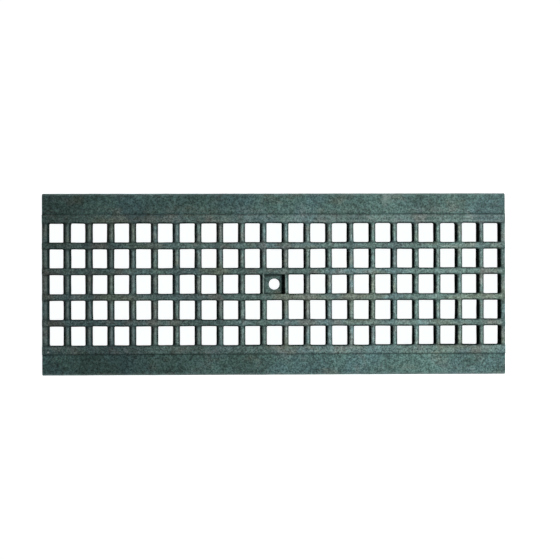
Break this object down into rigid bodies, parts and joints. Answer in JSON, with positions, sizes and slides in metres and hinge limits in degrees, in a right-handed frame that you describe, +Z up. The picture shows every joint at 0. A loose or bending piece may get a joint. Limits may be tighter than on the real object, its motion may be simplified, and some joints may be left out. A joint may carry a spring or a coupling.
{
  "type": "cast iron drain grate",
  "caption": "Flat rectangular cast iron grate for a drainage channel, with a mesh of tapered cells, plain seating flanges along both long sides and a recessed bolt hole in the middle.",
  "frame": {"origin": "middle of the flat underside", "axes": "+X along the grate, +Y across it, +Z up out of the tread"},
  "size_m": [0.5, 0.196, 0.02],
  "materials": {
    "iron": "matt dark green-grey cast skin, slightly mottled"
  },
  "bodies": {
    "root": {"grate": "iron"}
  },
  "joints": []
}
